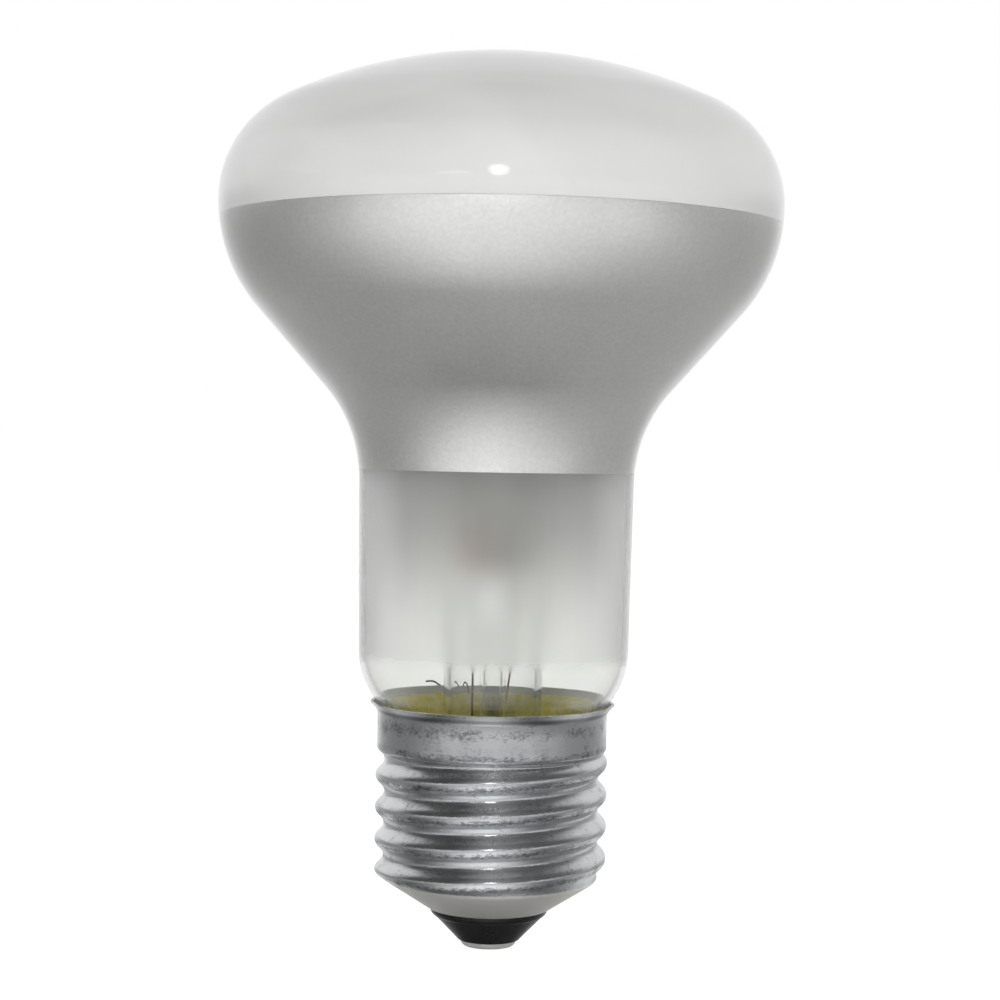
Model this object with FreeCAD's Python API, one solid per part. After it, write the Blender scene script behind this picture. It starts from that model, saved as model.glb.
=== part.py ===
"""Screw-cap reflector bulb of 63.5 mm, standing on its centre contact, in millimetres.

The origin is the centre of the contact's flat bottom and +Z runs up the axis to the domed face. A blown
glass bulb, mirrored on its flank and frosted on its face and neck, is fused at its bottom to a flared stem
that carries the leads, the glass arbor and the horseshoe filament. The stem's end sits in a rolled
screw cap, held by a ring of cement, and the cap ends in a cast black insulator and a contact eyelet.
"""

import FreeCAD, Part
import math
import os

V = FreeCAD.Vector
AXIS = V(0, 0, 1)
ORIGIN = V(0, 0, 0)

# Centre contact and the black insulator
contact_radius = 3.15
contact_thickness = 0.75
contact_edge = 0.6
eyelet_radius = 1.3
eyelet_bore = 1.0
eyelet_length = 2.0
solder_height = 0.9
solder_meniscus = 0.25
meniscus_middle = 0.25
insulator_height = 3.65
insulator_foot_radius = 3.5
insulator_radius = 6.65
insulator_land = 0.4
insulator_bevel = 0.55
bevel_middle_in = 0.3
bevel_middle_down = 0.5
insulator_depth = 2.6
insulator_floor = 2.2
funnel_radius = 2.5

# Rolled cap shell with its round thread
sheet = 0.25
mouth_radius = 6.95
cone_height = 3.35
crest_radius = 13.15
thread_depth = 1.0
thread_pitch = 3.629
thread_turns = 4
thread_runout = 0.33
thread_rounding = 1.025
thread_rounding_limit = 0.48
first_crest = 1.45
collar_below_crest = 0.15
collar_height = 3.9
collar_run = 0.7
lip_beyond_glass = 0.75
rim_height = 1.2
flare_power = 1.5
slope_step = 0.01
cone_blend = 0.5
turn_poles = 48
pitch_poles = 16

# Blown bulb: a neck that widens upwards, arcs and a cone up to the widest ring, then the domed face
glass_wall = 0.8
bulb_radius = 31.75
corner_radius = 12.5
corner_angle = 65.0
flank_radius = 18.0
flank_angle = 41.4
throat_radius = 15.7
neck_beyond_collar = 2.3
neck_widening = 0.28
neck_length = 19.25
shoulder_radius = 10.0
tuck_radius = 1.5
seal_length = 2.55
seal_depth = 5.1

# Films on the inside of the bulb
film = 0.05
mirror_top_below_widest = 1.9
mirror_foot_above_neck = 1.0

# Flared stem, its press and the exhaust tube
tube_radius = 5.6
tube_length = 12.2
press_width = 8.0
press_thickness = 3.0
press_height = 5.0
press_taper = 5.0
press_corner = 1.2
press_corner_limit = 0.45
cavity_share = 0.8
exhaust_radius = 1.5
exhaust_bore = 0.9
exhaust_socket = 0.15
exhaust_tip_above_floor = 4.6
blow_hole_rise = 2.2
blow_hole_radius = 0.7

# Leads, arbor, supports and filament
lead_spacing = 4.6
outer_lead_radius = 0.12
rim_lead_straight = 9.5
swing_radius = 3.8
swing_angle = 85.0
fuse_radius = 0.11
fuse_length = 9.0
fuse_drop = 3.0
dumet_radius = 0.22
inner_lead_radius = 0.3
inner_lead_stub = 1.8
inner_lead_spread = 7.0
arbor_radius = 1.0
arbor_length = 6.3
button_radius = 1.9
button_height = 2.4
support_radius = 0.12
support_seat = 0.9
support_rise = 1.6
support_angles = (18.0, 90.0, 162.0)
filament_ring = 6.0
filament_radius = 0.35
filament_gap_angle = 90.0
filament_overhang = 6.0
filament_above_button = 6.0
hook_clearance = 0.05
wire_bend = 2.0
bend_limit = 0.45
lead_below_insulator_floor = 1.0
lead_in_solder = 0.2

# Cement, and the rim lead with its solder
fit_gap = 0.02
cement_thickness = 1.55
cement_top_above_collar = 0.3
cement_depth = 3.2
rim_lead_angle = 108.0
rim_lead_gap = 0.25
rim_lead_dip = 0.9
loop_rise = 0.65
loop_drop = 0.4
loop_clearance = 0.25
loop_angle = 2.5
tail_start_angle = 9.0
tail_top_angle = 14.5
tail_end_angle = 18.0
rim_solder_radius = 0.6
rim_solder_drop = 0.68

# Radii and heights that follow
root_radius = crest_radius - thread_depth
collar_radius = crest_radius - collar_below_crest
neck_foot_radius = collar_radius + neck_beyond_collar
neck_radius = neck_foot_radius + neck_widening
mouth_z = contact_thickness + insulator_height
collar_z = mouth_z + cone_height + thread_turns * thread_pitch + thread_runout
rim_z = collar_z + collar_height
cap_top = rim_z + rim_height
seal_radius = collar_radius - sheet - cement_thickness
seal_z = cap_top - seal_depth
tuck_z = seal_z + seal_length
cone_slope = (root_radius - mouth_radius) / cone_height
neck_taper = math.atan2(neck_widening, neck_length)
tuck_reach = tuck_radius + shoulder_radius * math.cos(neck_taper) - (neck_foot_radius - seal_radius)
shoulder_angle = math.acos(tuck_reach / (tuck_radius + shoulder_radius))
neck_z = tuck_z + (tuck_radius + shoulder_radius) * math.sin(shoulder_angle)
neck_z -= shoulder_radius * math.sin(neck_taper)
throat_z = neck_z + neck_length
flare_bead = seal_radius - 2 * glass_wall
flare_top = seal_z - glass_wall + flare_bead - tube_radius
taper_foot = flare_top + tube_length
press_foot = taper_foot + press_taper
press_top = press_foot + press_height


def shoulder_at(z):
    """Outer radius of the glass at a height on its shoulder."""
    centre_z = neck_z + shoulder_radius * math.sin(neck_taper)
    centre_r = neck_foot_radius - shoulder_radius * math.cos(neck_taper)
    return centre_r + math.sqrt(shoulder_radius**2 - (centre_z - z) ** 2)


rim_radius = shoulder_at(cap_top) + lip_beyond_glass


def revolve(points_and_arcs):
    """A solid of revolution from a closed outline in the XZ plane. An item is a point (r, z), or a pair of
    points: the middle and the end of an arc."""
    edges = []
    first = None
    last = None
    for item in points_and_arcs:
        if isinstance(item[0], tuple):
            middle, end = (V(r, 0, z) for r, z in item)
            edges.append(Part.Arc(last, middle, end).toShape())
        else:
            end = V(item[0], 0, item[1])
            if last is not None and (end - last).Length > 1e-7:
                edges.append(Part.makeLine(last, end))
        first = end if first is None else first
        last = end
    if (last - first).Length > 1e-7:
        edges.append(Part.makeLine(last, first))
    face = Part.Face(Part.Wire(edges))
    return face.revolve(ORIGIN, AXIS, 360)


def on_arc(centre, radius, degrees):
    """A point (r, z) on an arc about centre, at an angle up from the outward direction."""
    angle = math.radians(degrees)
    return (centre[0] + radius * math.cos(angle), centre[1] + radius * math.sin(angle))


def arc_item(centre, radius, start, end):
    """The middle and end points of an arc, as revolve() takes them."""
    return (on_arc(centre, radius, (start + end) / 2), on_arc(centre, radius, end))


def rounded_path(points, bend):
    """Straight runs joined by tangent arcs, as a list of edges."""
    edges = []
    start = points[0]
    for before, corner, after in zip(points, points[1:], points[2:]):
        back = (before - corner).normalize()
        ahead = (after - corner).normalize()
        half = back.getAngle(ahead) / 2
        shorter = min((before - corner).Length, (after - corner).Length)
        radius = min(bend, bend_limit * shorter * math.tan(half))
        reach = radius / math.tan(half)
        inward = (back + ahead).normalize()
        middle = corner + inward * (radius / math.sin(half) - radius)
        edges.append(Part.makeLine(start, corner + back * reach))
        edges.append(Part.Arc(corner + back * reach, middle, corner + ahead * reach).toShape())
        start = corner + ahead * reach
    edges.append(Part.makeLine(start, points[-1]))
    return edges


def wire_solid(edges, radius):
    """A round wire of that radius along a path of tangent edges."""
    path = Part.Wire(edges)
    start = path.Edges[0].firstVertex().Point
    direction = path.Edges[0].tangentAt(path.Edges[0].FirstParameter)
    section = Part.Wire(Part.makeCircle(radius, start, direction))
    return path.makePipeShell([section], True, False)


def polar(radius, degrees, z):
    angle = math.radians(degrees)
    return V(radius * math.cos(angle), radius * math.sin(angle), z)


def smooth_min(a, b, width):
    """The smaller of two values, rounded over where they cross."""
    share = max(0.0, min(1.0, 0.5 + (b - a) / (2 * width)))
    return b * (1 - share) + a * share - width * share * (1 - share)


def smooth_step(value):
    value = max(0.0, min(1.0, value))
    return value * value * (3 - 2 * value)


# Cap shell

def thread_rise(along):
    """Height of the round thread above its root, at a distance up from a crest: equal arcs at root and crest,
    joined by a tangent line."""
    half = thread_pitch / 2
    depth = thread_depth
    rounding = min(thread_rounding, thread_rounding_limit * math.hypot(half, depth - 2 * thread_rounding))
    between = math.hypot(half, depth - 2 * rounding)
    flank = math.asin(2 * rounding / between) + math.atan2(depth - 2 * rounding, half)
    out = abs(along % thread_pitch - half)
    foot = rounding * math.sin(flank)
    if out < foot:
        return rounding - math.sqrt(rounding**2 - out**2)
    if out > half - foot:
        return depth - rounding + math.sqrt(rounding**2 - (half - out) ** 2)
    return rounding * (1 - math.cos(flank)) + (out - foot) * math.tan(flank)


def shell_outside(turn, z):
    """Outer radius of the pressed shell at a share of a turn and a height."""
    thread = root_radius + thread_rise(z - collar_z + first_crest - turn * thread_pitch)
    cone = mouth_radius + cone_slope * (z - mouth_z)
    radius = smooth_min(thread, cone, cone_blend)
    collar_share = smooth_step((z - collar_z + collar_run) / collar_run)
    radius += (collar_radius - radius) * collar_share
    flare = max(0.0, (z - rim_z) / rim_height)
    return radius + (rim_radius - collar_radius) * flare**flare_power


def shell_inside(turn, z):
    """Inner radius, one sheet thickness in along the wall's normal."""
    slope = (shell_outside(turn, z + slope_step) - shell_outside(turn, z - slope_step)) / (2 * slope_step)
    return shell_outside(turn, z) - sheet * math.hypot(1, slope)


def rolled_face(radius_at, low, high):
    """A closed cubic surface around the axis whose radius follows radius_at(turn, z)."""
    degree = 3
    rows = round((high - low) / thread_pitch * pitch_poles)
    spans = rows - degree
    knots = [low + (high - low) * i / spans for i in range(spans + 1)]
    padded = [low] * degree + knots + [high] * degree
    heights = [sum(padded[i + 1 : i + 1 + degree]) / degree for i in range(rows)]
    pull = (2 + math.cos(2 * math.pi / turn_poles)) / 3
    poles = []
    for i in range(turn_poles):
        turn = i / turn_poles
        angle = 2 * math.pi * turn
        row = []
        for z in heights:
            radius = radius_at(turn, z) / pull
            row.append(V(radius * math.cos(angle), radius * math.sin(angle), z))
        poles.append(row)
    surface = Part.BSplineSurface()
    surface.buildFromPolesMultsKnots(
        poles,
        [1] * (turn_poles + 1),
        [degree + 1] + [1] * (spans - 1) + [degree + 1],
        list(range(turn_poles + 1)),
        knots,
        True,
        False,
        degree,
        degree,
    )
    return surface.toShape()


def ring_edge(face, z):
    """The face's closed edge that lies at one height."""
    for edge in face.Edges:
        box = edge.BoundBox
        if abs(box.ZMin - z) < 1e-4 and abs(box.ZMax - z) < 1e-4:
            return edge
    raise ValueError("the rolled face has no edge at that height")


def make_cap_shell():
    """One pressed and rolled sheet: flared rim, plain collar, round thread and lower cone."""
    outside = rolled_face(shell_outside, mouth_z, cap_top)
    inside = rolled_face(shell_inside, mouth_z, cap_top)
    faces = [outside, inside]
    for z in (mouth_z, cap_top):
        wires = [Part.Wire(ring_edge(face, z)) for face in (outside, inside)]
        faces.append(Part.Face(wires, "Part::FaceMakerBullseye"))
    shell = Part.Shell(faces)
    shell.sewShape()
    solid = Part.Solid(Part.Shell(shell.Faces))
    if solid.Volume < 0:
        solid.reverse()
    return solid


# Insulator, contact and solder

def make_insulator():
    """Black glass cast into the shell's cone, with a dished inside and a hole for the contact's eyelet."""
    clearance = (sheet + fit_gap) * math.hypot(1, cone_slope)
    land_z = mouth_z - insulator_land
    bevel_slope = (insulator_radius - insulator_foot_radius) / (land_z - contact_thickness)
    bevel = (insulator_radius - insulator_bevel * bevel_slope, land_z - insulator_bevel)
    bulge = (
        insulator_radius - bevel_middle_in * insulator_bevel * bevel_slope,
        land_z - bevel_middle_down * insulator_bevel,
    )
    floor_z = contact_thickness + insulator_floor
    return revolve([
        (eyelet_radius, contact_thickness),
        (insulator_foot_radius, contact_thickness),
        bevel,
        (bulge, (insulator_radius, land_z)),
        (insulator_radius, mouth_z - fit_gap),
        (mouth_radius - clearance, mouth_z - fit_gap),
        (mouth_radius - clearance, mouth_z),
        (mouth_radius - clearance + cone_slope * insulator_depth, mouth_z + insulator_depth),
        (funnel_radius, floor_z),
        (eyelet_radius, floor_z),
    ])


def make_centre_contact():
    """A flat disc with a rolled lower edge and an eyelet that stands in the insulator's hole."""
    edge_centre = (contact_radius - contact_edge, contact_edge)
    top = contact_thickness + eyelet_length
    return revolve([
        (eyelet_bore, 0),
        (contact_radius - contact_edge, 0),
        arc_item(edge_centre, contact_edge, -90, 0),
        (contact_radius, contact_thickness),
        (eyelet_radius, contact_thickness),
        (eyelet_radius, top),
        (eyelet_bore, top),
    ])


def make_contact_solder(lead):
    """Solder that fills the eyelet round the lead's end, flush below and with a meniscus above."""
    halfway = (eyelet_bore / 2, solder_height + meniscus_middle * solder_meniscus)
    plug = revolve([
        (0, 0),
        (eyelet_bore, 0),
        (eyelet_bore, solder_height + solder_meniscus),
        (halfway, (0, solder_height)),
    ])
    return plug.cut(lead)


# Bulb, its films and the cement

def widest_height():
    """Height of the widest ring: the throat and flank arcs, and the straight cone that joins them."""
    angle = math.radians(flank_angle)
    throat_gain = throat_radius * (math.cos(neck_taper) - math.cos(angle))
    flank_gain = flank_radius * (1 - math.cos(angle))
    straight = (bulb_radius - neck_radius - throat_gain - flank_gain) / math.sin(angle)
    arcs = throat_radius * (math.sin(angle) - math.sin(neck_taper)) + flank_radius * math.sin(angle)
    return throat_z + arcs + straight * math.cos(angle)


def bulb_body(inset):
    """The bulb as a full body of revolution, set in from its outer surface by inset."""
    dip = math.degrees(shoulder_angle)
    taper = math.degrees(neck_taper)
    widest_z = widest_height()
    tuck_centre = (seal_radius + tuck_radius, tuck_z)
    shoulder_centre = (
        neck_foot_radius - shoulder_radius * math.cos(neck_taper),
        neck_z + shoulder_radius * math.sin(neck_taper),
    )
    throat_centre = (
        neck_radius + throat_radius * math.cos(neck_taper),
        throat_z - throat_radius * math.sin(neck_taper),
    )
    flank_centre = (bulb_radius - flank_radius, widest_z)
    corner_centre = (bulb_radius - corner_radius, widest_z)
    crown_drop = corner_centre[0] * math.tan(math.radians(corner_angle))
    crown_radius = corner_radius + math.hypot(corner_centre[0], crown_drop)
    return revolve([
        (0, seal_z),
        (seal_radius - inset, seal_z),
        (seal_radius - inset, tuck_z),
        arc_item(tuck_centre, tuck_radius + inset, 180, 180 - dip),
        arc_item(shoulder_centre, shoulder_radius - inset, -dip, -taper),
        on_arc(throat_centre, throat_radius + inset, 180 - taper),
        arc_item(throat_centre, throat_radius + inset, 180 - taper, 180 - flank_angle),
        on_arc(flank_centre, flank_radius - inset, -flank_angle),
        arc_item(flank_centre, flank_radius - inset, -flank_angle, 0),
        arc_item(corner_centre, corner_radius - inset, 0, corner_angle),
        arc_item((0, widest_z - crown_drop), crown_radius - inset, corner_angle, 90),
    ])


def slab(low, high):
    size = 2 * bulb_radius
    return Part.makeBox(2 * size, 2 * size, high - low, V(-size, -size, low))


def make_glass_bulb():
    """The blown bulb, open at the ring where the stem's flare is fused to it."""
    return bulb_body(0).cut(bulb_body(glass_wall))


def film_layer(low, high):
    """A film of one thickness on the inside of the glass, between two heights."""
    layer = bulb_body(glass_wall).cut(bulb_body(glass_wall + film))
    return layer.common(slab(low, high))


def mirror_top():
    return widest_height() - mirror_top_below_widest


def make_mirror():
    return film_layer(throat_z + mirror_foot_above_neck, mirror_top())


def make_face_coating():
    return film_layer(mirror_top(), widest_height() + bulb_radius)


def make_cement(lead):
    """The ring of cement between the glass and the cap's collar, with the rim lead bedded in it."""
    top = rim_z + cement_top_above_collar
    wall = collar_radius - sheet - fit_gap
    ring = revolve([
        (seal_radius - glass_wall, top - cement_depth),
        (wall, top - cement_depth),
        (wall, rim_z),
        (wall + fit_gap, top),
        (seal_radius - glass_wall, top),
    ])
    return ring.cut(bulb_body(0)).cut(lead)


# Stem, press and exhaust tube

def press_block(foot):
    """The pinched block of the stem, with rounded edges along its height."""
    corner = V(-press_width / 2, -press_thickness / 2, foot)
    block = Part.makeBox(press_width, press_thickness, press_height, corner)
    upright = [e for e in block.Edges if abs(e.tangentAt(0).z) > 0.9]
    return block.makeFillet(min(press_corner, press_corner_limit * press_thickness), upright)


def make_stem(buried):
    """Trumpet flare, tube and pinched press in one piece, with the leads and the blow hole in the press."""
    turn_centre = (flare_bead, seal_z)
    sweep_centre = (flare_bead, flare_top)
    upper = flare_bead - tube_radius
    tube = revolve([
        (seal_radius, seal_z),
        arc_item(turn_centre, 2 * glass_wall, 0, -90),
        arc_item(sweep_centre, upper + glass_wall, -90, -180),
        (tube_radius - glass_wall, taper_foot),
        (tube_radius, taper_foot),
        (tube_radius, flare_top),
        arc_item(sweep_centre, upper, -180, -90),
        arc_item(turn_centre, glass_wall, -90, 0),
    ])
    round_end = Part.Wire(Part.makeCircle(tube_radius, V(0, 0, taper_foot), AXIS))
    centre = V(0, 0, press_foot)
    across = centre + V(press_width / 2, 0, 0)
    through = centre + V(0, press_thickness / 2, 0)
    flat_end = Part.Wire(Part.Ellipse(across, through, centre).toShape())
    taper = Part.makeLoft([round_end, flat_end], True)
    cavity_height = cavity_share * press_taper
    socket = exhaust_radius + exhaust_socket
    cavity = Part.makeCone(tube_radius - glass_wall, socket, cavity_height, V(0, 0, taper_foot))
    stem = tube.fuse(taper.cut(cavity)).fuse(press_block(press_foot))
    bore_z = taper_foot + cavity_height
    bore = Part.makeCylinder(exhaust_bore, blow_hole_rise, V(0, 0, bore_z))
    hole_z = bore_z + blow_hole_rise - exhaust_bore
    hole = Part.makeCylinder(blow_hole_radius, press_width, V(0, 0, hole_z), V(0, 1, 0))
    return stem.cut(bore).cut(hole).cut(buried)


def make_exhaust_tube():
    """Glass tube hanging from the press, melted shut at its lower tip."""
    top = taper_foot + cavity_share * press_taper
    tip = mouth_z + insulator_depth + exhaust_tip_above_floor
    shoulder = tip + exhaust_radius
    return revolve([
        (0, tip),
        arc_item((0, shoulder), exhaust_radius, -90, 0),
        (exhaust_radius, top),
        (exhaust_bore, top),
        (exhaust_bore, shoulder + exhaust_bore),
        (0, shoulder),
    ])


# Leads

def lead_x(side):
    return side * lead_spacing / 2


def make_dumet(side):
    """The copper-clad length of lead that the press seals in."""
    return Part.makeCylinder(dumet_radius, press_top - press_foot, V(lead_x(side), 0, press_foot))


def make_contact_lead():
    """Copper lead from the fuse down to the eyelet."""
    x = lead_x(-1)
    foot = fuse_foot()
    low = mouth_z + insulator_depth
    points = [
        V(x, 0, foot),
        V(x, 0, low + exhaust_tip_above_floor),
        V(0, 0, low - lead_below_insulator_floor),
        V(0, 0, lead_in_solder),
    ]
    return wire_solid(rounded_path(points, wire_bend), outer_lead_radius)


def fuse_foot():
    return press_foot - fuse_drop - fuse_length


def make_fuse():
    """A thinner wire let into the contact lead."""
    return Part.makeCylinder(fuse_radius, fuse_length, V(lead_x(-1), 0, fuse_foot()))


def make_fuse_tail():
    """Copper between the fuse and the press."""
    return Part.makeCylinder(outer_lead_radius, fuse_drop, V(lead_x(-1), 0, press_foot - fuse_drop))


def make_rim_lead():
    """Copper lead that turns round the flare's rim, rises through the cement and loops over the lip."""
    x = lead_x(1)
    turn = 2 * glass_wall + rim_lead_gap + outer_lead_radius
    inward = (flare_bead - turn, seal_z - turn - rim_lead_dip)
    corner = (flare_bead + 0.5 * turn, seal_z - turn)
    bed = seal_radius + rim_lead_gap + outer_lead_radius
    loop_top = cap_top + loop_rise
    points = [
        V(x, 0, press_foot),
        V(x, 0, press_foot - rim_lead_straight),
        polar(swing_radius, swing_angle, seal_z - 2 * turn),
        polar(inward[0], rim_lead_angle, inward[1]),
        polar(corner[0], rim_lead_angle, corner[1]),
        polar(bed, rim_lead_angle, seal_z),
        polar(bed, rim_lead_angle, tuck_z),
        polar(rim_gap_middle(rim_z), rim_lead_angle, rim_z),
        polar(rim_gap_middle(cap_top), rim_lead_angle, cap_top),
        polar(shoulder_at(loop_top) + loop_clearance, rim_lead_angle + loop_angle, loop_top),
        polar(outside_lip(), rim_lead_angle + 2 * loop_angle, cap_top - loop_drop),
        polar(outside_lip(), rim_lead_angle + tail_start_angle, cap_top - loop_drop / 2),
        polar(shoulder_at(loop_top) + loop_clearance, rim_lead_angle + tail_top_angle, loop_top),
        polar(outside_lip(), rim_lead_angle + tail_end_angle, loop_top - outer_lead_radius),
    ]
    return wire_solid(rounded_path(points, wire_bend), outer_lead_radius)


def outside_lip():
    """Radius at which the rim lead runs behind the lip."""
    return rim_radius + outer_lead_radius + loop_clearance


def rim_gap_middle(z):
    """Middle of the gap between the glass shoulder and the cap, at a height on the shoulder."""
    return (shoulder_at(z) + shell_inside(0, z)) / 2


def make_rim_solder(shell, lead):
    """A bead of solder that holds the lead to the outer side of the lip."""
    angle = rim_lead_angle + (2 * loop_angle + tail_start_angle) / 2
    bead = Part.makeSphere(rim_solder_radius, polar(rim_radius, angle, cap_top - rim_solder_drop))
    return bead.cut(shell).cut(lead)


# Mount of the filament

def button_z():
    return press_top + arbor_length


def filament_z():
    return button_z() + button_height / 2 + filament_above_button


def hook_edges(degrees, reach, foot):
    """A path that rises on the outer side of the filament and curls over it, from foot upwards."""
    centre = polar(filament_ring, degrees, filament_z())
    outward = polar(1, degrees, 0)
    start = centre + outward * reach
    top = centre + AXIS * reach
    inner = centre - outward * reach
    edges = rounded_path(foot + [start], wire_bend)
    edges.append(Part.Arc(start, top, inner).toShape())
    return edges


def make_inner_lead(side):
    """Nickel lead from the press to one end of the filament, curled over it."""
    angle = -90 + side * filament_gap_angle / 2
    reach = filament_radius + inner_lead_radius + hook_clearance
    start = V(lead_x(side), 0, press_top)
    spread = polar(filament_ring + reach, angle, press_top + inner_lead_spread)
    foot = [start, start + AXIS * inner_lead_stub, spread]
    return wire_solid(hook_edges(angle, reach, foot), inner_lead_radius)


def make_support(degrees):
    """Thin support wire from the glass button out to the filament."""
    reach = filament_radius + support_radius + hook_clearance
    middle = button_z() + button_height / 2
    root = polar(button_radius - support_seat, degrees, middle)
    out = polar(filament_ring + reach, degrees, middle + support_rise)
    return wire_solid(hook_edges(degrees, reach, [root, out]), support_radius)


def make_arbor(supports):
    """Glass rod on the press, with a flat button that grips the supports."""
    low = button_z()
    edge = button_height / 2
    arbor = revolve([
        (0, press_top),
        (arbor_radius, press_top),
        (arbor_radius, low),
        (button_radius - edge / 2, low),
        ((button_radius, low + edge), (button_radius - edge / 2, low + button_height)),
        (0, low + button_height),
    ])
    return arbor.cut(supports)


def make_filament():
    """The coil as its round outer form, a horseshoe open towards the leads."""
    gap = filament_gap_angle - 2 * filament_overhang
    ring = Part.makeTorus(filament_ring, filament_radius, ORIGIN, AXIS, 0, 360, 360 - gap)
    ring.rotate(ORIGIN, AXIS, -90 + gap / 2)
    ring.translate(V(0, 0, filament_z()))
    return ring


def build():
    contact_lead = make_contact_lead()
    rim_lead = make_rim_lead()
    fuse_tail = make_fuse_tail()
    dumets = {"left": make_dumet(-1), "right": make_dumet(1)}
    supports = [make_support(angle) for angle in support_angles]
    shell = make_cap_shell()
    parts = {
        "glass_bulb": make_glass_bulb(),
        "face_coating": make_face_coating(),
        "mirror_coating": make_mirror(),
        "glass_stem": make_stem(list(dumets.values()) + [rim_lead, fuse_tail]),
        "exhaust_tube": make_exhaust_tube(),
        "arbor_rod": make_arbor(supports),
        "filament": make_filament(),
        "left_seal_wire": dumets["left"],
        "right_seal_wire": dumets["right"],
        "left_filament_lead": make_inner_lead(-1),
        "right_filament_lead": make_inner_lead(1),
        "contact_lead_upper": fuse_tail,
        "fuse_wire": make_fuse(),
        "contact_lead": contact_lead,
        "rim_lead": rim_lead,
        "cap_shell": shell,
        "cap_insulator": make_insulator(),
        "centre_contact": make_centre_contact(),
        "contact_solder": make_contact_solder(contact_lead),
        "rim_solder": make_rim_solder(shell, rim_lead),
        "basing_cement": make_cement(rim_lead),
    }
    for number, support in enumerate(supports, 1):
        parts[f"filament_support_{number}"] = support
    return parts


def main():
    os.makedirs("parts", exist_ok=True)
    for name, shape in build().items():
        shape.exportStep(f"parts/{name}.step")
        print(name, "solids", len(shape.Solids), "valid", shape.isValid(), "volume", round(shape.Volume, 3),
              "z", round(shape.BoundBox.ZMin, 2), round(shape.BoundBox.ZMax, 2))


main()
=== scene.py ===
"""Looks of the reflector bulb: blown glass, satin mirror, white face, stained cap, and a white studio."""

import math

import bmesh
import bpy
from mathutils import Matrix, Vector


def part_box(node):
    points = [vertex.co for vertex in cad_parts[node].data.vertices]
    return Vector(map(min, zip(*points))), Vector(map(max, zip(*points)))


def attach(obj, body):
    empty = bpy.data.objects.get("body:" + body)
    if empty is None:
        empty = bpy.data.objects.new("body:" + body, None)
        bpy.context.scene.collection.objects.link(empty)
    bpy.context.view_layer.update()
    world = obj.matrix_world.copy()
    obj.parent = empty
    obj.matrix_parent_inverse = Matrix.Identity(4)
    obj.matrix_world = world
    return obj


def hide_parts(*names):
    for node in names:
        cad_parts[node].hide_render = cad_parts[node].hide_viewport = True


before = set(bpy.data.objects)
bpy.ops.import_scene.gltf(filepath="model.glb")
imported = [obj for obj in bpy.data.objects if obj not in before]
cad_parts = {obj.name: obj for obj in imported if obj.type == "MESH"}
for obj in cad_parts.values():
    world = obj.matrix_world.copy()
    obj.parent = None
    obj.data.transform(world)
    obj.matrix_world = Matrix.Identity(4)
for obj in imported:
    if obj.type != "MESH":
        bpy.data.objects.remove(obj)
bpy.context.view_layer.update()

mm = 0.001

# Camera, measured in the photograph of 1000 by 1000 pixels
photo_size = 1000
camera_distance = 258.7 * mm
camera_height = 58.05 * mm
camera_side = 0.44 * mm
camera_pitch = 1.63
camera_roll = 1.04
focal_pixels = 2283
sensor_width = 36.0

# Bulb outline, as it was made in CAD
glass_wall = 0.8 * mm
bulb_radius = 31.75 * mm
corner_radius = 12.5 * mm
corner_angle = 65.0
flank_radius = 18.0 * mm
flank_angle = 41.4
throat_radius = 15.7 * mm
neck_radius = 15.58 * mm
neck_foot_radius = 15.3 * mm
neck_length = 19.25 * mm
shoulder_radius = 10.0 * mm
tuck_radius = 1.5 * mm
seal_radius = 11.2 * mm
seal_length = 2.55 * mm
mirror_foot_above_neck = 1.0 * mm
mirror_top_below_widest = 1.9 * mm

# Films, and the heights of the finishes
film_bite = 0.02 * mm
film = 0.05 * mm
seam_gap = 0.03 * mm
frost_edge = 33.0 * mm
frost_fade = 2.4 * mm
neck_top = 54.0 * mm
film_gloss = 0.1
film_gloss_rise = 12 * mm
# Heights over which the neck's frost takes painted shade towards the mirror, and roughens
shade_and_haze_top = 51.5 * mm
shade_and_haze_foot = 33.0 * mm
cone_top = 8.1 * mm
collar_z = 22.596 * mm
first_crest = 1.45 * mm
thread_pitch = 3.629 * mm
# Phase of the band under each crest where dark marks gather, for soil and painted shade together
crest_soil_and_shade_phase = 0.84
low_soil_above_collar_foot = 0.35 * mm
high_soil_above_collar_foot = 2.9 * mm
# Height of the painted shadow under the cap's lip
lip_shadow_line = 26.95 * mm
# Place of the painted highlight on the neck's frost in front of the stem's bore
bore_light_side = -0.45 * mm
bore_light_z = 40.3 * mm
press_foot = 43.0 * mm
press_middle_above_foot = 2.1 * mm

# Fineness of the turned meshes: degrees of arc, longest straight step and steps around
arc_step = 1.5
longest_step = 0.9 * mm
steps_around = 240
same_point = 0.002 * mm
on_axis = 1e-9

# Studio floor
floor_half = 4.0
floor_tone = 0.8
floor_glow = 1.18
floor_glow_share = 0.8
under_shadow_radius = 28 * mm
near_radius = 45 * mm
middle_radius = 100 * mm
far_radius = 220 * mm

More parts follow.
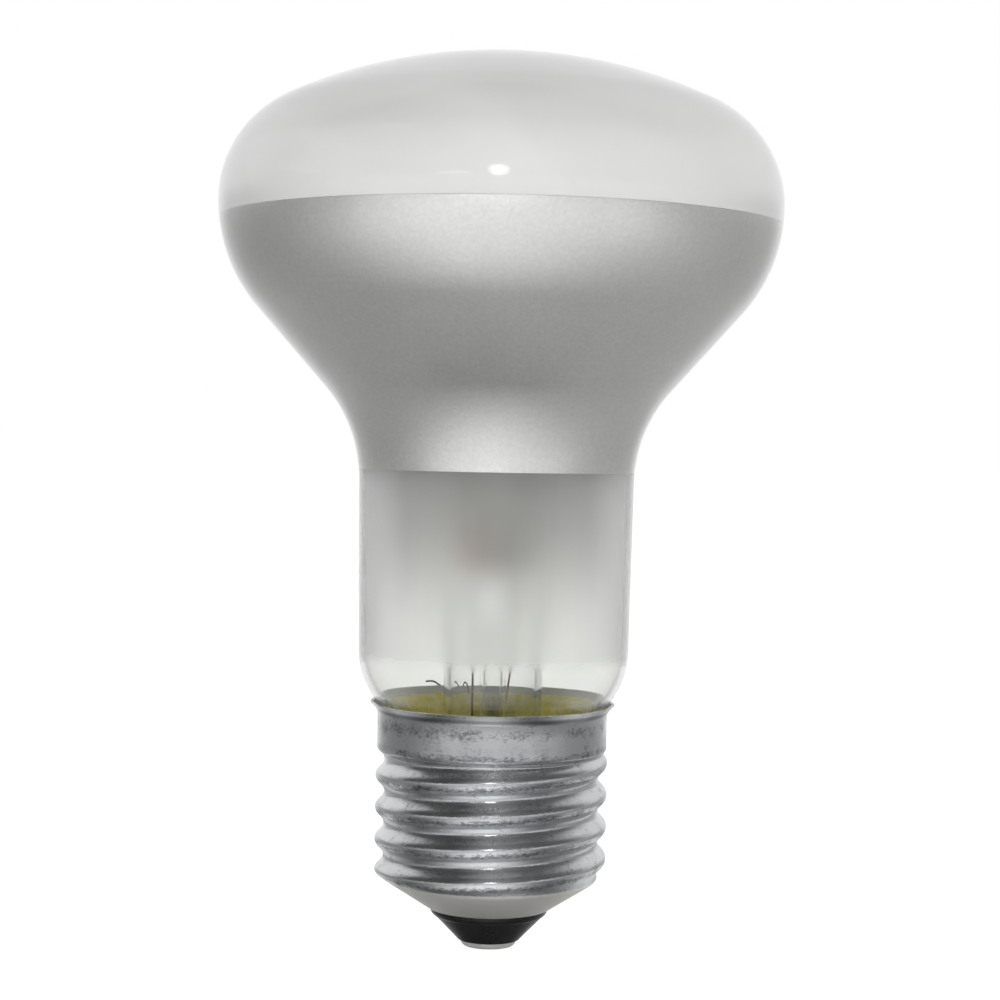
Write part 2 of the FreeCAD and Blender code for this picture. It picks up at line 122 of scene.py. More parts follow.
# Brightness that reflections see: degrees round the bulb, 0 in front and positive to the right, and value
# The floor's painted shadow of the bulb, as reflections see it, fading out over the near ring
under_shadow_stops = [(-180, 0.7), (-126, 0.6), (-90, 0.36), (-60, 0.12), (0, 0.09), (60, 0.16), (90, 0.36),
               (126, 0.6), (180, 0.7)]
near_stops = [(-180, 0.6), (-117, 0.34), (-80, 0.31), (-50, 0.28), (-25, 0.4), (0, 0.46), (25, 0.4),
              (50, 0.31), (80, 0.36), (117, 0.38), (180, 0.6)]
middle_stops = [(-180, 1.0), (-155, 0.95), (-140, 0.6), (-117, 0.42), (-97, 0.36), (-80, 0.27), (-55, 0.48),
                (-30, 0.8), (0, 1.0), (30, 0.7), (55, 0.47), (80, 0.39), (97, 0.43), (117, 0.5), (140, 0.6),
                (155, 0.95), (180, 1.0)]
far_stops = [(-180, 1.0), (-155, 0.95), (-140, 0.56), (-117, 0.32), (-97, 0.32), (-80, 0.4), (-64, 0.66),
             (-50, 0.88), (-37, 0.98), (0, 1.0), (37, 0.97), (50, 0.88), (64, 0.71), (80, 0.5), (97, 0.42),
             (117, 0.44), (140, 0.6), (155, 0.95), (180, 1.0)]
wall_stops = [(-180, 1.0), (-132, 1.0), (-118, 0.85), (-106, 0.5), (-96, 0.12), (-50, 0.08), (-38, 0.11),
              (-24, 0.2), (-12, 0.3), (0, 0.34), (12, 0.3), (24, 0.22), (38, 0.16), (52, 0.13), (88, 0.18),
              (104, 0.45), (116, 0.78), (130, 0.95), (180, 1.0)]
# Painted light on the floor near the cap, which only short rays see
close_stops = [(-180, 0.8), (-120, 0.8), (-90, 0.35), (-70, 0.14), (-53, 0.27), (-37, 0.6), (-22, 1.0),
               (-8, 1.3), (7, 1.25), (21, 0.75), (36, 0.36), (50, 0.2), (65, 0.28), (85, 0.6),
               (110, 0.85), (180, 0.8)]

# Short rays, such as those from the thread's lower flanks, see the close stops beyond this radius
close_radius = 18 * mm
close_ray = 40 * mm
distant_ray = 55 * mm

# Heights on the studio's walls, as the Z of a direction, with 0 level and 1 straight up
wall_foot = 0.04
wall_top = 0.15
overhead_foot = 0.9
overhead_top = 0.99
overhead_tone = 0.6

# Lamps: place, width, height, power, and whether metal and glass mirror them
lamp_aim = (0, 0, 0.084)
lamps = {
    "strobe": ((-0.016, -0.75, 0.22), 0.09, 0.12, 0.24, True),
    "streak": ((-0.23, -0.71, 0.18), 0.16, 0.02, 0.03, True),
    "key": ((0, -0.7, 0.3), 0.6, 0.3, 0.95, False),
    "fill": ((0, -0.45, 0.012), 1.6, 0.02, 1.35, False),
    "top": ((0, 0, 1.6), 1.0, 1.0, 1.1, False),
    "left": ((-0.7, -0.1, 0.35), 0.3, 0.3, 0.95, False),
    "right": ((0.7, -0.1, 0.35), 0.3, 0.3, 1.1, False),
}

# Heights of the bulb, worked out as in CAD
seal_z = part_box("glass_bulb")[0][2]
neck_taper = math.atan2(neck_radius - neck_foot_radius, neck_length)
tuck_reach = tuck_radius + shoulder_radius * math.cos(neck_taper) - (neck_foot_radius - seal_radius)
shoulder_angle = math.acos(tuck_reach / (tuck_radius + shoulder_radius))
tuck_z = seal_z + seal_length
neck_z = tuck_z + (tuck_radius + shoulder_radius) * math.sin(shoulder_angle)
neck_z -= shoulder_radius * math.sin(neck_taper)
throat_z = neck_z + neck_length


def widest_height():
    """Height of the widest ring, above the neck, the throat, the cone and the flank."""
    angle = math.radians(flank_angle)
    throat_gain = throat_radius * (math.cos(neck_taper) - math.cos(angle))
    flank_gain = flank_radius * (1 - math.cos(angle))
    straight = (bulb_radius - neck_radius - throat_gain - flank_gain) / math.sin(angle)
    arcs = throat_radius * (math.sin(angle) - math.sin(neck_taper)) + flank_radius * math.sin(angle)
    return throat_z + arcs + straight * math.cos(angle)


widest_z = widest_height()
mirror_top = widest_z - mirror_top_below_widest
mirror_foot = throat_z + mirror_foot_above_neck


# Geometry helpers

def arc(centre, radius, start, end):
    """Points (r, z) along an arc, with angles in degrees up from the outward direction."""
    steps = max(2, round(abs(end - start) / arc_step))
    points = []
    for i in range(steps + 1):
        angle = math.radians(start + (end - start) * i / steps)
        points.append((centre[0] + radius * math.cos(angle), centre[1] + radius * math.sin(angle)))
    return points


def bulb_profile(inset):
    """The bulb's section from its seal to the pole, set in from the outer surface."""
    dip = math.degrees(shoulder_angle)
    taper = math.degrees(neck_taper)
    shoulder_centre = (
        neck_foot_radius - shoulder_radius * math.cos(neck_taper),
        neck_z + shoulder_radius * math.sin(neck_taper),
    )
    throat_centre = (
        neck_radius + throat_radius * math.cos(neck_taper),
        throat_z - throat_radius * math.sin(neck_taper),
    )
    flank_centre = (bulb_radius - flank_radius, widest_z)
    corner_centre = (bulb_radius - corner_radius, widest_z)
    crown_drop = corner_centre[0] * math.tan(math.radians(corner_angle))
    crown_radius = corner_radius + math.hypot(corner_centre[0], crown_drop)
    runs = [
        [(seal_radius - inset, seal_z)],
        arc((seal_radius + tuck_radius, tuck_z), tuck_radius + inset, 180, 180 - dip),
        arc(shoulder_centre, shoulder_radius - inset, -dip, -taper),
        arc(throat_centre, throat_radius + inset, 180 - taper, 180 - flank_angle),
        arc(flank_centre, flank_radius - inset, -flank_angle, 0),
        arc(corner_centre, corner_radius - inset, 0, corner_angle),
        arc((0.0, widest_z - crown_drop), crown_radius - inset, corner_angle, 90),
    ]
    points = []
    for run in runs:
        for point in run:
            if not points or math.dist(points[-1], point) > same_point:
                points.append(point)
    points[-1] = (0.0, points[-1][1])
    return filled(points)


def filled(points):
    """The same outline with long straight runs divided."""
    dense = [points[0]]
    for a, b in zip(points, points[1:]):
        count = max(1, math.ceil(math.dist(a, b) / longest_step))
        for i in range(1, count + 1):
            share = i / count
            dense.append((a[0] + (b[0] - a[0]) * share, a[1] + (b[1] - a[1]) * share))
    return dense


def between(points, low, high):
    """The stretch of an outline between two heights, cut exactly at both."""
    kept = []
    for a, b in zip(points, points[1:]):
        for z in (low, high):
            if (a[1] - z) * (b[1] - z) < 0:
                share = (z - a[1]) / (b[1] - a[1])
                kept.append((a[0] + (b[0] - a[0]) * share, z))
        if low <= b[1] <= high:
            kept.append(b)
    if low <= points[0][1] <= high:
        kept.insert(0, points[0])
    return sorted(set(kept), key=lambda p: p[1])


def lathe(name, outline, slot_of=None):
    """A mesh turned about Z from a closed outline of (r, z) points. slot_of gives a face's material slot
    from its place in the outline."""
    bm = bmesh.new()
    rings = []
    for r, z in outline:
        if r < on_axis:
            rings.append([bm.verts.new((0.0, 0.0, z))])
            continue
        ring = []
        for i in range(steps_around):
            angle = 2 * math.pi * i / steps_around
            ring.append(bm.verts.new((r * math.cos(angle), r * math.sin(angle), z)))
        rings.append(ring)
    for place, one in enumerate(rings):
        two = rings[(place + 1) % len(rings)]
        for i in range(steps_around):
            j = (i + 1) % steps_around
            corners = [one[i % len(one)], one[j % len(one)], two[j % len(two)], two[i % len(two)]]
            corners = list(dict.fromkeys(corners))
            if len(corners) > 2:
                face = bm.faces.new(corners)
                face.smooth = True
                if slot_of:
                    face.material_index = slot_of(place)
    bmesh.ops.recalc_face_normals(bm, faces=bm.faces[:])
    return finish_mesh(name, bm)


def finish_mesh(name, bm, sharp=40):
    """An object from the mesh, with edges sharper than that angle kept crisp."""
    mesh = bpy.data.meshes.new(name)
    bm.to_mesh(mesh)
    bm.free()
    mesh.set_sharp_from_angle(angle=math.radians(sharp))
    piece = bpy.data.objects.new(name, mesh)
    bpy.context.scene.collection.objects.link(piece)
    return piece


# Material helpers

class Nodes:
    """Short calls for the nodes of a material or of the world."""

    def __init__(self, tree, coordinates):
        self.tree = tree
        self.place = self.node("ShaderNodeTexCoord").outputs[coordinates]

    def node(self, kind, **settings):
        made = self.tree.nodes.new(kind)
        for key, value in settings.items():
            setattr(made, key, value)
        return made

    def link(self, source, target):
        self.tree.links.new(source, target)

    def scaled(self, x, y, z):
        """The object's coordinates times a factor on each axis."""
        made = self.node("ShaderNodeMapping")
        made.inputs["Scale"].default_value = (x, y, z)
        self.link(self.place, made.inputs["Vector"])
        return made.outputs["Vector"]

    def noise(self, scale, detail=4.0, rough=0.55, place=None):
        """Noise from 0 to 1, with scale in waves a metre."""
        made = self.node("ShaderNodeTexNoise")
        made.inputs["Scale"].default_value = scale
        made.inputs["Detail"].default_value = detail
        made.inputs["Roughness"].default_value = rough
        self.link(place or self.place, made.inputs["Vector"])
        return made.outputs["Fac"]

    def axis(self, letter):
        made = self.node("ShaderNodeSeparateXYZ")
        self.link(self.place, made.inputs["Vector"])
        return made.outputs[letter]

    def height(self):
        return self.axis("Z")

    def remap(self, source, low, high, new_low=0.0, new_high=1.0, smooth=True):
        """The source's stretch from low to high brought to new_low and new_high, and held beyond them."""
        made = self.node("ShaderNodeMapRange")
        if smooth:
            made.interpolation_type = "SMOOTHSTEP"
        for key, value in zip(("From Min", "From Max", "To Min", "To Max"), (low, high, new_low, new_high)):
            made.inputs[key].default_value = value
        self.link(source, made.inputs["Value"])
        return made.outputs["Result"]

    def band(self, source, middle, half, fade):
        """1 within half of the middle, 0 beyond the fade."""
        away = self.math("ABSOLUTE", self.math("SUBTRACT", source, middle))
        return self.remap(away, half, fade, 1, 0)

    def math(self, operation, a, b=0):
        made = self.node("ShaderNodeMath", operation=operation)
        for socket, value in zip(made.inputs, (a, b)):
            if isinstance(value, (int, float)):
                socket.default_value = value
            else:
                self.link(value, socket)
        return made.outputs["Value"]

    def blend(self, share, one, two):
        """A colour between two colours, each a tuple or a socket."""
        made = self.node("ShaderNodeMix", data_type="RGBA")
        self.link(share, made.inputs["Factor"])
        for key, value in (("A", one), ("B", two)):
            socket = [s for s in made.inputs if s.name == key and s.type == "RGBA"][0]
            if isinstance(value, tuple):
                socket.default_value = (*value, 1.0)
            else:
                self.link(value, socket)
        return [s for s in made.outputs if s.type == "RGBA"][0]

    def ramp(self, source, stops):
        """A grey value that follows (place, value) stops."""
        made = self.node("ShaderNodeValToRGB")
        marks = made.color_ramp.elements
        while len(marks) < len(stops):
            marks.new(0.5)
        for mark, (place, value) in zip(marks, stops):
            mark.position = place
            mark.color = (value, value, value, 1)
        self.link(source, made.inputs["Fac"])
        return made.outputs["Color"]

    def glow(self, strength, kind="ShaderNodeEmission"):
        """A white light of its own, for a surface or for the world."""
        made = self.node(kind)
        made.inputs["Color"].default_value = (1, 1, 1, 1)
        if isinstance(strength, (int, float)):
            made.inputs["Strength"].default_value = strength
        else:
            self.link(strength, made.inputs["Strength"])
        return made.outputs[0]

    def mixed(self, share, one, two):
        """A shader between two shaders."""
        made = self.node("ShaderNodeMixShader")
        if isinstance(share, (int, float)):
            made.inputs[0].default_value = share
        else:
            self.link(share, made.inputs[0])
        self.link(one, made.inputs[1])
        self.link(two, made.inputs[2])
        return made.outputs["Shader"]

    def sight(self):
        """The light path, and 1 for what the camera sees directly or through glass, with no reflection."""
        path = self.node("ShaderNodeLightPath")
        bounces = self.math("ADD", path.outputs["Glossy Depth"], path.outputs["Diffuse Depth"])
        unbroken = self.math("LESS_THAN", bounces, 0.5)
        through = self.math("MULTIPLY", path.outputs["Is Transmission Ray"], unbroken)
        return path, self.math("MAXIMUM", path.outputs["Is Camera Ray"], through)

    def round_the_studio(self, stops):
        """Brightness by direction around the bulb, in degrees from the front, positive to the right."""
        turn = self.math("ARCTAN2", self.axis("X"), self.math("MULTIPLY", self.axis("Y"), -1))
        places = [((angle + 180) / 360, value) for angle, value in stops]
        return self.ramp(self.remap(turn, -math.pi, math.pi, smooth=False), places)

    def inward(self):
        """1 where a surface faces the axis."""
        normal = self.node("ShaderNodeTexCoord").outputs["Normal"]
        made = self.node("ShaderNodeVectorMath", operation="DOT_PRODUCT")
        self.link(self.scaled(1, 1, 0), made.inputs[0])
        self.link(normal, made.inputs[1])
        return self.math("LESS_THAN", made.outputs["Value"], 0)

    def reach(self):
        """Distance from the axis."""
        across = self.math("POWER", self.axis("X"), 2)
        deep = self.math("POWER", self.axis("Y"), 2)
        return self.math("SQRT", self.math("ADD", across, deep))


class Shader(Nodes):
    """A node material with a Principled shader."""

    def __init__(self, name):
        self.material = bpy.data.materials.new(name)
        self.material.use_nodes = True
        super().__init__(self.material.node_tree, "Object")
        self.base = self.tree.nodes["Principled BSDF"]
        self.out = self.tree.nodes["Material Output"]

    def set(self, **values):
        """Plain values on the shader, with _ for a space in a socket's name."""
        for key, value in values.items():
            self.base.inputs[key.replace("_", " ")].default_value = value

    def bump(self, source, distance, strength=1.0):
        """Relief of that depth from a grey value."""
        made = self.node("ShaderNodeBump")
        made.inputs["Strength"].default_value = strength
        made.inputs["Distance"].default_value = distance
        self.link(source, made.inputs["Height"])
        self.link(made.outputs["Normal"], self.base.inputs["Normal"])

    def let_lamps_through(self, tint=(1.0, 1.0, 1.0)):
        """Shadow rays pass, so that the lamps reach what is behind the glass."""
        clear = self.node("ShaderNodeBsdfTransparent")
        clear.inputs["Color"].default_value = (*tint, 1.0)
        shadow = self.node("ShaderNodeLightPath").outputs["Is Shadow Ray"]
        surface = self.mixed(shadow, self.base.outputs["BSDF"], clear.outputs["BSDF"])
        self.link(surface, self.out.inputs["Surface"])


def clear_glass(name, ior=1.5):
    """Blown soda glass with a faint waviness, and less gloss over the films."""
    s = Shader(name)
    s.set(Base_Color=(0.985, 0.99, 0.985, 1), IOR=ior, Transmission_Weight=1.0)
    gloss = s.remap(s.height(), neck_top, neck_top + film_gloss_rise, 0.0, film_gloss)
    s.link(gloss, s.base.inputs["Roughness"])
    s.bump(s.noise(90.0, 2.0, place=s.scaled(1, 1, 0.35)), 0.05 * mm, 0.35)
    s.let_lamps_through((0.96, 0.97, 0.96))
    return s.material


def stem_glass():
    """Stem glass, stained by copper in the press. It bends light less where the frost hides it."""
    s = Shader("stem_glass")
    s.set(Roughness=0.0, Transmission_Weight=1.0)
    bend = s.remap(s.height(), press_foot - 9 * mm, press_foot - 6 * mm, 1.5, 1.1)
    s.link(bend, s.base.inputs["IOR"])
    stain = s.blend(s.remap(s.axis("X"), -1.5 * mm, 1.5 * mm), (0.74, 0.58, 0.55), (0.6, 0.61, 0.61))
    pressed = s.band(s.height(), press_foot + press_middle_above_foot, 1.0 * mm, 3.8 * mm)
    s.link(s.blend(pressed, (0.985, 0.99, 0.985), stain), s.base.inputs["Base Color"])
    s.bump(s.noise(160.0, 2.0, place=s.scaled(1, 1, 0.35)), 0.05 * mm, 0.35)
    s.let_lamps_through((0.96, 0.97, 0.96))
    return s.material


def frosted_glass():
    """The inside of the neck: etched, with an uneven lower edge, clear below it. Its tint carries painted
    shade that darkens it towards the mirror, a painted highlight in front of the stem's bore and painted
    light towards its outline."""
    s = Shader("neck_frost")
    ragged = s.remap(s.noise(220.0, 3.0), 0, 1, -0.6 * mm, 0.6 * mm, smooth=False)
    height = s.math("ADD", s.height(), ragged)
    frost = s.remap(height, frost_edge - frost_fade / 2, frost_edge + frost_fade / 2)
    # Painted shade: the frost's tint darkens towards the mirror, for the shade the mirror casts into the
    # neck. The same share roughens the frost.
    mirror_shade_and_haze = s.remap(s.height(), shade_and_haze_foot, shade_and_haze_top)
    streaks = s.remap(s.noise(240.0, 3.0, place=s.scaled(1, 1, 0.05)), 0.3, 0.7, -0.07, 0.07)
    mirror_shade_and_haze = s.math("ADD", mirror_shade_and_haze, streaks)
    tint = s.blend(mirror_shade_and_haze, (0.79, 0.795, 0.76), (0.385, 0.388, 0.37))
    # Painted highlight: the frost's tint is lighter in front of the stem's bore
    across = s.band(s.axis("X"), bore_light_side, 0, 3.2 * mm)
    upright = s.band(s.height(), bore_light_z, 0, 5 * mm)
    bore_light = s.math("MULTIPLY", across, upright)
    tint = s.blend(s.math("MULTIPLY", bore_light, 0.8), tint, (0.97, 0.975, 0.95))
    # Painted light: the tint pales towards the neck's outline, by the angle of view
    painted_rim_light = s.node("ShaderNodeLayerWeight").outputs["Facing"]
    tint = s.blend(s.remap(painted_rim_light, 0.1, 0.26), tint, (0.97, 0.975, 0.97))
    s.set(IOR=1.5)
    s.link(s.blend(frost, (0.82, 0.83, 0.79), tint), s.base.inputs["Base Color"])
    s.link(s.math("MULTIPLY", frost, s.remap(mirror_shade_and_haze, 0, 1, 0.36, 0.6)), s.base.inputs["Roughness"])
    s.link(s.remap(frost, 0, 1, 1.0, 0.9, smooth=False), s.base.inputs["Transmission Weight"])
    s.let_lamps_through((0.96, 0.97, 0.95))
    return s.material


def mirror_metal():
    """Aluminium film on etched glass: satin, with fine grain and faint streaks down the flank."""
    s = Shader("mirror_satin")
    grain = s.noise(2600.0, 2.0)
    cloud = s.noise(70.0, 4.0)
    streak = s.noise(120.0, 3.0, place=s.scaled(1, 1, 0.08))
    share = s.math("MULTIPLY", s.math("ADD", cloud, streak), 0.5)
    share = s.math("ADD", share, s.remap(grain, 0.3, 0.7, -0.3, 0.3, smooth=False))
    tone = s.blend(share, (0.835, 0.84, 0.825), (0.965, 0.97, 0.955))
    s.link(tone, s.base.inputs["Base Color"])
    s.set(Metallic=1.0)
    rough = s.remap(streak, 0.3, 0.7, 0.31, 0.37)
    s.link(rough, s.base.inputs["Roughness"])
    s.bump(grain, 0.02 * mm, 0.7)
    return s.material


def face_white():
    """White diffusing film inside the face, with painted light that pales it towards its outline."""
    s = Shader("face_film_white")
    tone = s.blend(s.noise(60.0, 3.0), (0.80, 0.80, 0.795), (0.84, 0.84, 0.835))
    # Painted light: the film's colour pales towards its outline, by the angle of view
    painted_rim_light = s.node("ShaderNodeLayerWeight").outputs["Facing"]
    tone = s.blend(s.remap(painted_rim_light, 0.3, 0.9), tone, (0.97, 0.97, 0.965))
    s.link(tone, s.base.inputs["Base Color"])
    s.link(s.remap(s.noise(900.0, 2.0), 0.3, 0.7, 0.55, 0.7), s.base.inputs["Roughness"])
    s.bump(s.noise(1800.0, 2.0), 0.01 * mm, 0.4)
    return s.material


def cap_metal():
    """Tinned cap: bluish grey, with soil on the collar, dark marks in a band under each crest that are soil
    and painted shade together, and a painted shadow under the lip. The cone and the inside of the collar
    are paler and duller."""
    s = Shader("cap_tinned")
    blotch = s.noise(420.0, 6.0, 0.68)
    pits = s.noise(3200.0, 3.0, 0.65, place=s.scaled(0.7, 0.7, 1.5))
    speckle = s.math("ADD", s.math("MULTIPLY", blotch, 0.5), s.math("MULTIPLY", pits, 0.5))
    turn = s.math("DIVIDE", s.math("ARCTAN2", s.axis("Y"), s.axis("X")), 2 * math.pi)
    rise = s.math("DIVIDE", s.math("SUBTRACT", s.height(), collar_z - first_crest), thread_pitch)
    phase = s.math("FRACT", s.math("SUBTRACT", rise, turn))
    # Soil and painted shade: dark marks gather in a band just under each crest
    under_crest_soil_and_shade = s.band(phase, crest_soil_and_shade_phase, 0.03, 0.13)
    under_crest_soil_and_shade = s.math("MULTIPLY", under_crest_soil_and_shade, s.remap(s.height(), collar_z - 0.5 * mm, collar_z, 1, 0))
    foot = s.band(s.height(), collar_z + low_soil_above_collar_foot, 0.1 * mm, 0.5 * mm)
    top = s.band(s.height(), collar_z + high_soil_above_collar_foot, 0.2 * mm, 1.0 * mm)
    top = s.math("MULTIPLY", top, 0.8)
    soil_and_shade = s.math("MAXIMUM", under_crest_soil_and_shade, s.math("MAXIMUM", foot, top))
    speckle = s.math("ADD", speckle, s.math("MULTIPLY", soil_and_shade, 0.1))
    marks = s.remap(speckle, 0.54, 0.68, 0.0, 0.85, smooth=False)
    tone = s.blend(s.noise(160.0, 3.0), (0.5, 0.515, 0.525), (0.64, 0.655, 0.665))
    collar = s.remap(s.height(), collar_z - 0.5 * mm, collar_z, 0, 0.35)
    tone = s.blend(collar, tone, (0.3, 0.31, 0.32))
    # Painted shadow: a dark band under the lip
    tone = s.blend(s.band(s.height(), lip_shadow_line, 0.05 * mm, 0.4 * mm), tone, (0.2, 0.205, 0.21))
    inside = s.math("MULTIPLY", s.inward(), s.math("GREATER_THAN", s.height(), collar_z))
    pale = s.remap(s.height(), cone_top - 0.3 * mm, cone_top, 1, 0)
    tone = s.blend(pale, s.blend(marks, tone, (0.16, 0.16, 0.165)), (0.8, 0.79, 0.76))
    tone = s.blend(inside, tone, (0.8, 0.8, 0.77))
    dull = s.math("MAXIMUM", pale, s.math("MULTIPLY", inside, 2))
    s.link(tone, s.base.inputs["Base Color"])
    s.link(s.remap(dull, 0, 2, 1.0, 0.5, smooth=False), s.base.inputs["Metallic"])
    rough = s.math("MAXIMUM", s.remap(blotch, 0.35, 0.7, 0.17, 0.33), s.math("MULTIPLY", dull, 0.5))
    s.link(rough, s.base.inputs["Roughness"])
    s.bump(speckle, 0.03 * mm, 0.5)
    return s.material


def rim_wire():
    """Copper inside the bulb, dull grey where it runs outside the glass."""
    s = Shader("wire_rim")
    grain = s.noise(600.0, 3.0)
    copper = s.blend(grain, (0.5, 0.2, 0.14), (0.75, 0.36, 0.26))
    grey = s.blend(grain, (0.12, 0.11, 0.1), (0.24, 0.22, 0.2))
    s.link(s.blend(s.remap(s.reach(), 9 * mm, 11 * mm), copper, grey), s.base.inputs["Base Color"])
    s.set(Metallic=1.0, Roughness=0.35)
    s.bump(grain, 0.01 * mm, 0.4)
    return s.material


def black_glass():
    """Cast black insulator glass."""
    s = Shader("insulator_black")
    tone = s.blend(s.noise(500.0, 3.0), (0.008, 0.008, 0.009), (0.02, 0.02, 0.021))
    s.link(tone, s.base.inputs["Base Color"])
    s.link(s.remap(s.noise(700.0, 3.0), 0.3, 0.7, 0.12, 0.3), s.base.inputs["Roughness"])
    s.base.inputs["Specular IOR Level"].default_value = 0.2
    s.bump(s.noise(600.0, 3.0), 0.03 * mm, 0.4)
    return s.material


def cement():
    """Olive basing cement, matt and lumpy."""
    s = Shader("cement_olive")
    lumps = s.remap(s.noise(650.0, 6.0, 0.7), 0.38, 0.62)
    tone = s.blend(lumps, (0.92, 0.75, 0.1), (1.0, 0.94, 0.42))
    s.link(tone, s.base.inputs["Base Color"])
    s.set(Roughness=0.75)
    s.bump(lumps, 0.1 * mm, 0.7)
    return s.material


def metal(name, one, two, rough, metallic=1.0, scale=600.0):
    """Plain drawn or pressed metal with uneven tone and roughness."""
    s = Shader(name)
    grain = s.noise(scale, 3.0)
    s.link(s.blend(grain, one, two), s.base.inputs["Base Color"])
    s.set(Metallic=metallic)
    s.link(s.remap(grain, 0.3, 0.7, rough * 0.8, rough * 1.3), s.base.inputs["Roughness"])
    s.bump(grain, 0.01 * mm, 0.4)
    return s.material


def dress(node, material):
    """Give a CAD node a new material in all its slots."""
    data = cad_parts[node].data
    if not data.materials:
        data.materials.append(material)
    for index in range(len(data.materials)):
        data.materials[index] = material


# Pieces

def make_bulb_glass():
    """The blown bulb: outer skin, and an inner skin that is etched in the neck."""
    outer = bulb_profile(0.0)
    inner = bulb_profile(glass_wall)
    outline = outer + inner[::-1]
    inner_start = len(outer)
    piece = lathe("bulb_glass", outline, slot_of=lambda i: 1 if i >= inner_start else 0)
    piece.data.materials.append(clear_glass("bulb_glass_clear"))
    piece.data.materials.append(frosted_glass())
    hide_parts("glass_bulb")
    return piece


def make_film(name, node, low, high, material):
    """A film in optical contact: its outer skin lies just inside the glass, its inner skin in the bulb."""
    outside = between(bulb_profile(glass_wall - film_bite), low, high)
    inside = between(bulb_profile(glass_wall - film_bite + film), low, high)
    piece = lathe(name, outside + inside[::-1])
    piece.data.materials.append(material)
    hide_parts(node)
    return piece


def make_pieces():
    """The three meshes that the scene makes itself. All ride on the root."""
    top = widest_z + bulb_radius
    pieces = [
        make_bulb_glass(),
        make_film("mirror_film", "mirror_coating", mirror_foot, mirror_top, mirror_metal()),
        make_film("face_film", "face_coating", mirror_top + seam_gap, top, face_white()),
    ]
    for piece in pieces:
        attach(piece, "root")


def dress_nodes():
    """New materials for the nodes that keep their CAD meshes."""
    glass = clear_glass("tube_glass_clear", 1.3)
    copper = metal("wire_copper", (0.5, 0.2, 0.12), (0.75, 0.38, 0.24), 0.3)
    nickel = metal("wire_nickel", (0.42, 0.4, 0.38), (0.62, 0.6, 0.56), 0.3)
    dark = metal("wire_dark", (0.06, 0.05, 0.045), (0.13, 0.1, 0.08), 0.4)
    grey = metal("wire_tungsten", (0.2, 0.2, 0.2), (0.34, 0.33, 0.32), 0.4)
    solder = metal("solder_dull", (0.45, 0.46, 0.47), (0.68, 0.69, 0.7), 0.35)
    dress("glass_stem", stem_glass())
    for node in ("exhaust_tube", "arbor_rod"):
        dress(node, glass)
    for node in ("left_seal_wire", "right_seal_wire"):
        dress(node, copper)
    dress("rim_lead", rim_wire())
    for node in ("left_filament_lead", "right_filament_lead"):
        dress(node, nickel)
    for node in ("contact_lead_upper", "fuse_wire", "contact_lead"):
        dress(node, dark)
    for node in ("filament", "filament_support_1", "filament_support_2", "filament_support_3"):
        dress(node, grey)
    for node in ("contact_solder", "rim_solder"):
        dress(node, solder)
    dress("cap_shell", cap_metal())
    dress("cap_insulator", black_glass())
    pressed = metal("contact_pressed", (0.66, 0.66, 0.64), (0.84, 0.84, 0.82), 0.4, metallic=0.5)
    dress("centre_contact", pressed)
    dress("basing_cement", cement())


# Studio

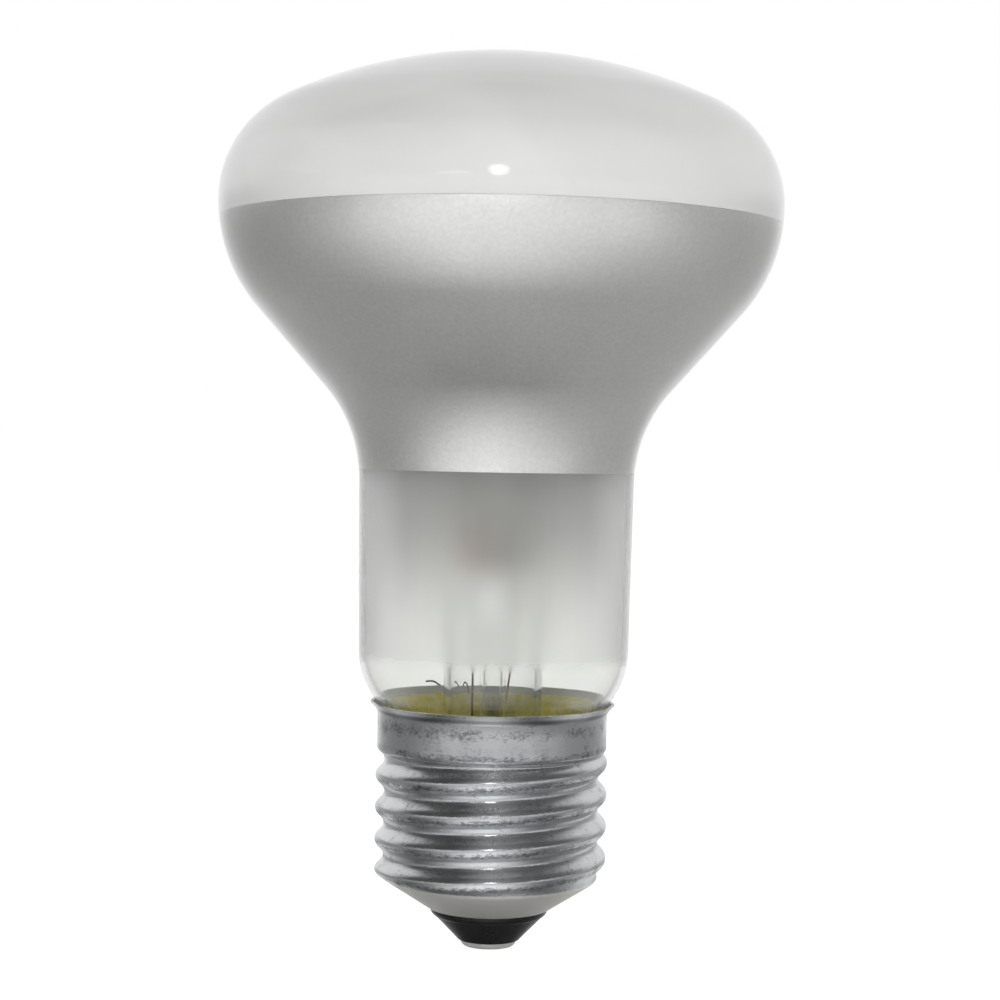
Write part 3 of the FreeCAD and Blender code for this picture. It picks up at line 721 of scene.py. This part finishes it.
def make_floor():
    """White to the eye and through glass, with a soft shadow. To reflections it glows in the studio's rings
    of painted light and shade, with a painted shadow of the bulb under it and painted light near the cap
    for short rays.
    """
    bm = bmesh.new()
    corners = ((-1, -1), (1, -1), (1, 1), (-1, 1))
    bm.faces.new([bm.verts.new((x * floor_half, y * floor_half, 0.0)) for x, y in corners])
    floor = finish_mesh("studio_floor", bm)
    s = Shader("floor_white")
    s.set(Base_Color=(floor_tone, floor_tone, floor_tone, 1), Roughness=0.9)
    white = s.node("ShaderNodeBsdfDiffuse")
    white.inputs["Color"].default_value = (1, 1, 1, 1)
    pattern = s.round_the_studio(under_shadow_stops)
    rings = [
        (under_shadow_radius, near_radius, near_stops),
        (near_radius, middle_radius, middle_stops),
        (middle_radius, far_radius, far_stops),
    ]
    for low, high, stops in rings:
        pattern = s.blend(s.remap(s.reach(), low, high), pattern, s.round_the_studio(stops))
    path, straight = s.sight()
    near_by = s.remap(path.outputs["Ray Length"], close_ray, distant_ray, 1, 0)
    near_by = s.math("MULTIPLY", near_by, s.remap(s.reach(), close_radius / 2, close_radius))
    pattern = s.blend(near_by, pattern, s.round_the_studio(close_stops))
    bounced = s.math("MAXIMUM", path.outputs["Is Glossy Ray"], path.outputs["Is Transmission Ray"])
    surface = s.mixed(bounced, s.base.outputs["BSDF"], s.glow(pattern))
    eye = s.mixed(floor_glow_share, white.outputs["BSDF"], s.glow(floor_glow))
    surface = s.mixed(straight, surface, eye)
    s.link(surface, s.out.inputs["Surface"])
    floor.data.materials.append(s.material)


def make_world():
    """White to the eye and through glass. Reflections and matt surfaces get the studio's walls."""
    world = bpy.data.worlds.new("studio")
    bpy.context.scene.world = world
    world.use_nodes = True
    s = Nodes(world.node_tree, "Generated")
    wall = s.remap(s.height(), wall_foot, wall_top)
    pattern = s.blend(wall, s.round_the_studio(far_stops), s.round_the_studio(wall_stops))
    overhead = s.remap(s.height(), overhead_foot, overhead_top)
    walls = s.math("MULTIPLY", pattern, s.math("SUBTRACT", 1.0, overhead))
    strength = s.math("ADD", walls, s.math("MULTIPLY", overhead, overhead_tone))
    straight = s.sight()[1]
    kind = "ShaderNodeBackground"
    surface = s.mixed(straight, s.glow(strength, kind), s.glow(1.0, kind))
    s.link(surface, s.tree.nodes["World Output"].inputs["Surface"])


def make_lamp(name, place, width, height, power, mirrored):
    light = bpy.data.lights.new(name, "AREA")
    light.shape = "ELLIPSE"
    light.size = width
    light.size_y = height
    light.energy = power
    lamp = bpy.data.objects.new(name, light)
    bpy.context.scene.collection.objects.link(lamp)
    lamp.location = place
    lamp.rotation_euler = (Vector(lamp_aim) - Vector(place)).to_track_quat("-Z", "Y").to_euler()
    lamp.visible_glossy = mirrored
    lamp.visible_transmission = mirrored


def make_camera():
    """The photo's camera."""
    camera = bpy.data.objects.new("camera", bpy.data.cameras.new("camera"))
    bpy.context.scene.collection.objects.link(camera)
    camera.data.sensor_width = sensor_width
    camera.data.lens = focal_pixels * sensor_width / photo_size
    camera.data.clip_start = 0.01
    turn = Matrix.Rotation(math.radians(90 - camera_pitch), 4, "X")
    roll = Matrix.Rotation(math.radians(camera_roll), 4, "Z")
    camera.matrix_world = Matrix.Translation((camera_side, -camera_distance, camera_height)) @ turn @ roll
    bpy.context.scene.camera = camera


make_camera()
make_floor()
make_world()
for name, lamp in lamps.items():
    make_lamp(name, *lamp)
make_pieces()
dress_nodes()

bpy.context.scene.view_settings.view_transform = "Standard"
